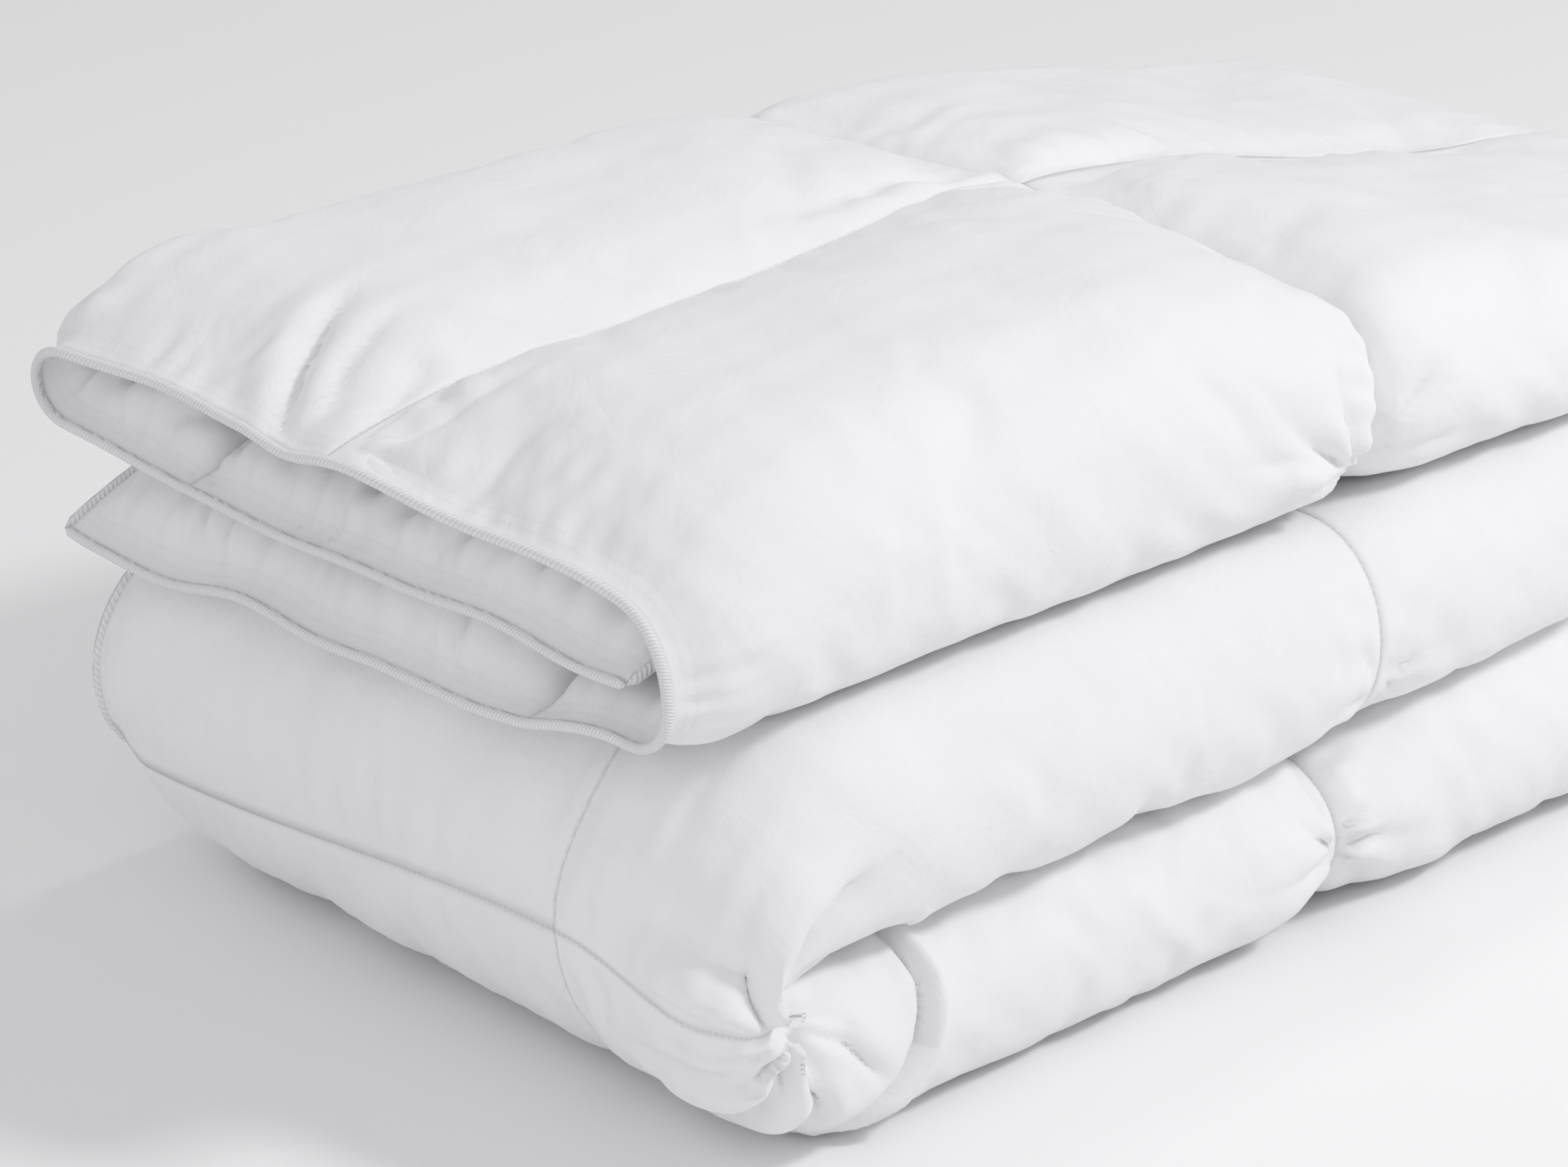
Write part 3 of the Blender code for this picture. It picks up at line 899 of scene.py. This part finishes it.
# %% Wires
class Wire:
    """One socket's number, for use in sums."""

    def __init__(self, finish, socket):
        self.finish, self.socket = finish, socket

    def _sum(self, operation, a, b=0.0):
        return self.finish.add("ShaderNodeMath", {"operation": operation}, {0: a, 1: b})

    def __add__(self, other):
        return self._sum("ADD", self, other)

    def __radd__(self, other):
        return self._sum("ADD", other, self)

    def __sub__(self, other):
        return self._sum("SUBTRACT", self, other)

    def __rsub__(self, other):
        return self._sum("SUBTRACT", other, self)

    def __mul__(self, other):
        return self._sum("MULTIPLY", self, other)

    def __rmul__(self, other):
        return self._sum("MULTIPLY", other, self)

    def __lt__(self, other):
        return self._sum("LESS_THAN", self, other)

    def sine(self):
        return self._sum("SINE", self)

    def size(self):
        return self._sum("ABSOLUTE", self)

    def part(self, whole):
        """The distance to the nearest multiple of whole."""
        return self._sum("PINGPONG", self, whole / 2)


print("a wire knows", [name for name in vars(Wire) if not name.startswith("__")])

# %% Finishes
class Finish:
    """One material and its nodes."""

    def __init__(self, name):
        self.material = bpy.data.materials.new(name)
        self.material.use_nodes = True
        self.tree = self.material.node_tree
        self.shader = self.tree.nodes["Principled BSDF"]

    def fill(self, node, sockets):
        for key, value in sockets.items():
            if isinstance(value, Wire):
                self.tree.links.new(value.socket, node.inputs[key])
            else:
                node.inputs[key].default_value = value

    def add(self, kind, settings=None, sockets=None, out=0):
        node = self.tree.nodes.new(kind)
        for key, value in (settings or {}).items():
            if key == "stops":
                ramp = node.color_ramp
                while len(ramp.elements) < len(value):
                    ramp.elements.new(1.0)
                for element, (place, colour) in zip(ramp.elements, value):
                    element.position, element.color = place, colour
            else:
                setattr(node, key, value)
        self.fill(node, sockets or {})
        return Wire(self, node.outputs[out])

    def noise(self, where, scale, detail=2.0, roughness=0.5, distortion=0.0):
        return self.add("ShaderNodeTexNoise", {}, {"Vector": where, "Scale": scale, "Detail": detail,
                                                   "Roughness": roughness, "Distortion": distortion})

    def bump(self, height, distance, strength, under=None):
        sockets = {"Height": height, "Distance": distance, "Strength": strength}
        if under is not None:
            sockets["Normal"] = under
        return self.add("ShaderNodeBump", {}, sockets)

    def blend(self, share, a, b):
        """A colour between a and b."""
        return self.add("ShaderNodeMix", {"data_type": "RGBA"}, {"Factor": share, 6: a, 7: b}, out=2)


print("a finish has", [name for name in vars(Finish) if not name.startswith("__")])

# %% [markdown]
# ## White down-proof cotton
#
# The cover is a very close plain weave, calendered so that no down comes through: matt with a faint
# gleam. Up close it shows the weave; a little further off it shows the dry, angular crinkles that
# such stiff cotton always has, and behind it the clumps of down make it very slightly uneven in tone.
# The seams are lines of small stitches, a third of a centimetre each, coloured a little darker as
# painted shade along the sewn lines. The pattern follows the flat place of the cloth, kept in a UV map
# in metres, so that it turns with every fold. The piping has such a map too, of the place along the cord and
# round it.

# %% The flat place as a UV map
def lay_uv(obj, u, v, name="flat_place"):
    layers = obj.data.uv_layers
    while len(layers):
        layers.remove(layers[0])
    layer = layers.new(name=name)
    corner = np.empty(len(obj.data.loops), np.int32)
    obj.data.loops.foreach_get("vertex_index", corner)
    layer.data.foreach_set("uv", np.stack([u[corner], v[corner]], axis=1).astype(np.float32).ravel())


for pocket in pockets.values():
    lay_uv(pocket, kept(pocket, "flat_u"), kept(pocket, "flat_v"))
for pipe in pipes.values():
    lay_uv(pipe, kept(pipe, "cord_along"), kept(pipe, "cord_round"))
print("laid a UV map on", len(pockets) + len(pipes), "pieces")

# %% The cotton
STITCH_PITCH, STITCH_LENGTH = 0.0034, 0.0022
SEAM_LINE, HEM_LINE = 0.0007, 0.0005
HEM_ROWS = (0.0055, 0.0090)
WARP, WEFT = 0.00062, 0.00058
CLUMP_DARK, CLUMP_LIGHT = (0.862, 0.855, 0.872, 1), (0.905, 0.898, 0.912, 1)
# painted shade: the grey that the stitched lines and hem rows are coloured with
STITCH_PAINTED_SHADE = (0.78, 0.78, 0.80, 1)


def cotton():
    f = Finish("cover_cloth_cotton")
    flat = f.add("ShaderNodeUVMap", {"uv_map": "flat_place"})
    u = f.add("ShaderNodeSeparateXYZ", {}, {0: flat}, out=0)
    v = f.add("ShaderNodeSeparateXYZ", {}, {0: flat}, out=1)
    space = f.add("ShaderNodeTexCoord", {}, {}, out=3)
    # the distance to the nearest seam, and a dash along it for every stitch
    to_u, to_v = u.part(WIDTH / COLUMNS), v.part(LENGTH / ROWS)
    dash_v = v.part(STITCH_PITCH) < STITCH_LENGTH / 2
    dash_u = u.part(STITCH_PITCH) < STITCH_LENGTH / 2
    stitch = (to_u < SEAM_LINE) * dash_v + (to_v < SEAM_LINE) * dash_u
    # two rows of stitches hold the hem beside the piping, all round the duvet
    to_side, to_end = u.part(WIDTH), v.part(LENGTH)
    for row in HEM_ROWS:
        beside = ((to_side - row).size() < HEM_LINE) * dash_v + ((to_end - row).size() < HEM_LINE) * dash_u
        stitch = stitch + beside * 0.45
    # dry crinkles: the valleys of a folded noise, at two sizes
    coarse = f.noise(space, 30.0, 3.0, 0.55, 0.9)
    fine = f.noise(space, 75.0, 4.0, 0.6, 0.6)
    crinkle = (coarse - 0.5).size() * 1.4 + (fine - 0.5).size() * 0.35
    clump = f.noise(space, 34.0, 2.0, 0.5)
    weave = (u * (2 * math.pi / WARP)).sine() * (v * (2 * math.pi / WEFT)).sine()
    stretched = f.add("ShaderNodeVectorMath", {"operation": "MULTIPLY"}, {0: flat, 1: (90.0, 1500.0, 1.0)})
    slub = f.noise(stretched, 1.0, 2.0, 0.5)
    tone = f.blend(clump, CLUMP_DARK, CLUMP_LIGHT)
    # painted shade: each stitch is coloured grey in place of the shade along the sewn line; its relief is
    # the bump below
    tone = f.blend(stitch * 0.5, tone, STITCH_PAINTED_SHADE)
    high = f.bump(crinkle, 0.0032, 0.26)
    high = f.bump(weave * 0.5 + slub * 0.5, 0.00006, 0.5, high)
    high = f.bump(stitch, 0.00015, 0.6, high)
    f.fill(f.shader, {"Base Color": tone, "Roughness": 0.66 + clump * 0.16, "Normal": high,
                      "Sheen Weight": 0.12, "Sheen Roughness": 0.45, "Specular IOR Level": 0.35})
    return f.material


cover = cotton()
print("nodes in the cotton:", len(cover.node_tree.nodes))

# %% [markdown]
# ## Twill tape
#
# The piping's tape is a twill: its ribs run slantwise, so on a cord they wind round it like the
# stripes of a rope. The slant is a sum of the place along the cord and the place round it. A sine
# of that sum gives the ribs, as bumps and as painted shade that greys the valleys between them,
# and a very fine noise gives the fuzz of the yarn.

# %% Twill tape round the cord
RIB, STARTS = 0.0021, 3
RIB_PAINTED_SHADE, RIB_LIGHT = (0.76, 0.765, 0.785, 1), (0.90, 0.90, 0.905, 1)


def twill():
    f = Finish("piping_twill")
    flat = f.add("ShaderNodeUVMap", {"uv_map": "flat_place"})
    along = f.add("ShaderNodeSeparateXYZ", {}, {0: flat}, out=0)
    round_it = f.add("ShaderNodeSeparateXYZ", {}, {0: flat}, out=1)
    rib = (along * (2 * math.pi / RIB) + round_it * (2 * math.pi * STARTS)).sine() * 0.5 + 0.5
    fuzz = f.noise(f.add("ShaderNodeTexCoord", {}, {}, out=3), 900.0, 3.0, 0.6)
    # painted shade: the tape is coloured darker in the rib valleys, where shade would fall between the ribs
    tone = f.blend(rib, RIB_PAINTED_SHADE, RIB_LIGHT)
    high = f.bump(rib + fuzz * 0.35, 0.0005, 0.7)
    f.fill(f.shader, {"Base Color": tone, "Roughness": 0.72 + fuzz * 0.12, "Normal": high,
                      "Sheen Weight": 0.15, "Sheen Roughness": 0.5})
    return f.material


tape = twill()
for pocket in pockets.values():
    pocket.data.materials.clear()
    pocket.data.materials.append(cover)
for pipe in pipes.values():
    pipe.data.materials.clear()
    pipe.data.materials.append(tape)
print("nodes in the tape:", len(tape.node_tree.nodes))


# %% [markdown]
# ## What moves with what
#
# The first row lies wholly on the top packet and the last on the bottom one, so each rides on its
# body. Rows two and three share the far fold and rows four and five the near one: their points
# turn from one body to the other by how far round the fold they are on the flat cloth. Each pocket
# stands for the CAD solids of its own stretch, which stay in the physics model.

# %% Riding and blending
def bend_over(obj, other):
    """Blends obj from the middle packet to the other one by its flat place along the fold."""
    v2 = drift(kept(obj, "flat_u"), kept(obj, "flat_v"))[1]
    if other == "top_packet":
        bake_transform(obj, "middle_packet", other, start=(X_FAR, 0, PACKET), end=(X_FAR, 0, 3 * PACKET))
        keep(obj, "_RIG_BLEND", 1 - np.clip((v2 - V_FAR_IN) / WRAP, 0, 1))
    else:
        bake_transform(obj, "middle_packet", other, start=(X_NEAR, 0, 2 * PACKET), end=(X_NEAR, 0, 0))
        keep(obj, "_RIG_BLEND", np.clip((v2 - V_NEAR_IN) / WRAP, 0, 1))


def place_on(obj, row):
    if row in (0, 5):
        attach(obj, "top_packet" if row == 0 else "bottom_packet")
    elif row in (1, 2):
        bend_over(obj, "top_packet")
    else:
        bend_over(obj, "bottom_packet")


for (row, column), pocket in pockets.items():
    place_on(pocket, row)
for key, row in (("top_end", 0), ("bottom_end", 5), (("inner", "upper"), 1), (("outer", "upper"), 1),
                 (("inner", "lower"), 3), (("outer", "lower"), 3)):
    place_on(pipes[key], row)
for piece in [*pockets.values(), *pipes.values()]:
    piece.data.polygons.foreach_set("use_smooth", [True] * len(piece.data.polygons))
print("riding:", len(pockets), "pockets and", len(pipes), "cords")

# %% Standing for the CAD solids
for row, region in enumerate(("top", "top", "middle", "middle", "bottom", "bottom")):
    for column in range(COLUMNS):
        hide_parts(f"{region}_fill_r{row + 1}_c{column + 1}")
for column in range(COLUMNS):
    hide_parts(f"far_fold_fill_c{column + 1}")
    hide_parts(f"near_fold_fill_c{column + 1}")
for region, row in (("top", 0), ("far_fold", 2), ("middle", 2), ("near_fold", 3), ("bottom", 5)):
    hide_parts(f"{region}_front_cloth", f"{region}_back_cloth")
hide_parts("top_end_piping")
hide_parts("bottom_end_piping")
for edge in ("inner", "outer"):
    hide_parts(f"top_{edge}_edge_piping", f"far_fold_{edge}_edge_piping",
                f"middle_{edge}_edge_piping")
    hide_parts(f"near_fold_{edge}_edge_piping", f"bottom_{edge}_edge_piping")
print("pieces:", len(pockets) + len(pipes))

# %% [markdown]
# ## The camera
#
# The camera looks down at the open end from the front left, at about 24 degrees, through a long lens,
# so the packets hardly narrow towards the back. It is aimed with a rotation built from the direction
# back to it, and a small shift sets the framing without changing the angle.

# %% Camera
bpy.ops.object.select_all(action="DESELECT")
TARGET = Vector((-0.118, -0.004, 0.10))
AZIMUTH, ELEVATION, AWAY = math.radians(-43.10), math.radians(23.65), 2.0733
LENS, SHIFT = 122, (-0.0404, 0.0201)
back = Vector((math.sin(AZIMUTH) * math.cos(ELEVATION),
               -math.cos(AZIMUTH) * math.cos(ELEVATION),
               math.sin(ELEVATION)))
bpy.ops.object.camera_add(location=TARGET + back * AWAY)
camera = bpy.context.object
camera.rotation_euler = (-back).to_track_quat("-Z", "Y").to_euler()
camera.data.sensor_width = 36
camera.data.lens = LENS
camera.data.shift_x, camera.data.shift_y = SHIFT
bpy.context.scene.camera = camera
print("the camera is", AWAY, "m away with a lens of", camera.data.lens, "mm")

# %% [markdown]
# ## Floor and light
#
# White cloth shows its shape only in soft greys, so the light matters as much as the finish. A soft
# key stands high at the front right, a smaller one above gives the layers their narrow shadows, a
# wide weak one keeps the shaded end open, and the room itself glows evenly. The floor is plain and
# pale. The view is set to show plain values, because a film curve would turn white cloth grey.

# %% The floor
FLOOR_GAP = 0.0005
bpy.ops.mesh.primitive_plane_add(size=12, location=(0, 0, TABLE_Z - FLOOR_GAP))
floor = bpy.context.object
floor.name = "floor"
paint = Finish("floor_paint")
paint.fill(paint.shader, {"Base Color": (0.93, 0.93, 0.93, 1), "Roughness": 0.8})
floor.data.materials.append(paint.material)
print("the floor lies", FLOOR_GAP * 1000, "mm under the cloth")

# %% The lights
AIM = Vector((0, 0, 0.12))


def soft_light(name, place, size, power):
    """A round lamp that faces the stack."""
    bpy.ops.object.light_add(type="AREA", location=place)
    lamp = bpy.context.object
    lamp.name = name
    lamp.rotation_euler = (AIM - Vector(place)).to_track_quat("-Z", "Y").to_euler()
    lamp.data.shape, lamp.data.size, lamp.data.energy = "DISK", size, power


soft_light("key_light", (1.0, -1.7, 2.0), 0.45, 26)
soft_light("top_light", (1.1, 0.5, 2.3), 0.4, 4)
soft_light("fill_light", (-1.9, -0.5, 1.25), 2.0, 6.0)
bpy.context.scene.view_settings.view_transform = "Standard"
world = bpy.data.worlds.new("studio")
bpy.context.scene.world = world
world.use_nodes = True
world.node_tree.nodes["Background"].inputs["Color"].default_value = (0.98, 0.98, 1.0, 1)
world.node_tree.nodes["Background"].inputs["Strength"].default_value = 0.57

# %% [markdown]
